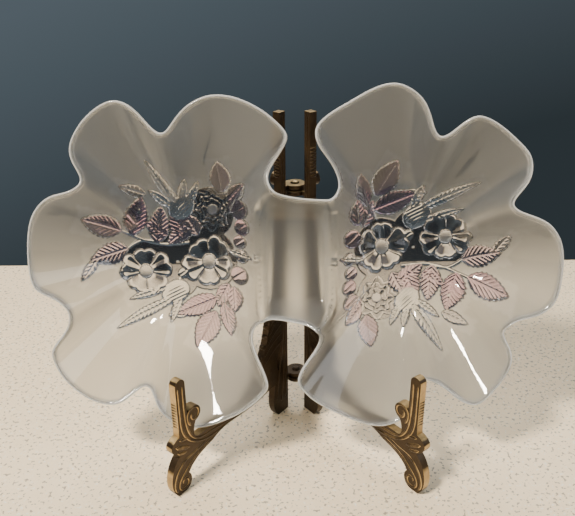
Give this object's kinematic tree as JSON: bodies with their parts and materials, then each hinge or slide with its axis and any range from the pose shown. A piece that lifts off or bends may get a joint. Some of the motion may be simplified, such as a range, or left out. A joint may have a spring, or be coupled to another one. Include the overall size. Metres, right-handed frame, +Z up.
{
  "type": "chip and dip server",
  "caption": "Two-lobed scalloped glass dish with a dip well between the bowls, standing upright in a folding brass easel.",
  "frame": {"origin": "on the table under the middle of the whole object's bounding box", "axes": "+X the long way across the dish, +Y towards the back (the dish faces -Y), +Z up"},
  "size_m": [0.3561, 0.118, 0.2596],
  "materials": {
    "frosted_glass": "satin-frosted outside, polished inside, with clear and lilac-tinted relief flowers and leaves",
    "antique_brass": "antiqued: near-black recesses, rubbed golden edges",
    "hinge_brass": "worn"
  },
  "bodies": {
    "hinges": {"upper_hinge_rivet": "hinge_brass", "upper_hinge_washer": "hinge_brass", "lower_hinge_rivet": "hinge_brass", "lower_hinge_washer": "hinge_brass"},
    "left_leaf": {"left_leaf": "antique_brass"},
    "right_leaf": {"right_leaf": "antique_brass"},
    "dish": {"glass_dish": "frosted_glass"}
  },
  "joints": [
    {"name": "left_leaf_fold", "type": "hinge", "parent": "hinges", "child": "left_leaf", "pos_m": [0, 0.0484, 0.1], "axis": [0, 0, 1], "range_deg": [0, 37.8]},
    {"name": "right_leaf_fold", "type": "hinge", "parent": "hinges", "child": "right_leaf", "pos_m": [0, 0.0484, 0.1], "axis": [0, 0, 1], "range_deg": [-37.8, 0]},
    {"name": "dish_lift", "type": "slide", "parent": "hinges", "child": "dish", "axis": [0, 0, 1], "range_m": [0, 0.21]}
  ],
  "couplings": [
    {"joint": "right_leaf_fold", "follows": "left_leaf_fold", "ratio": -1}
  ]
}
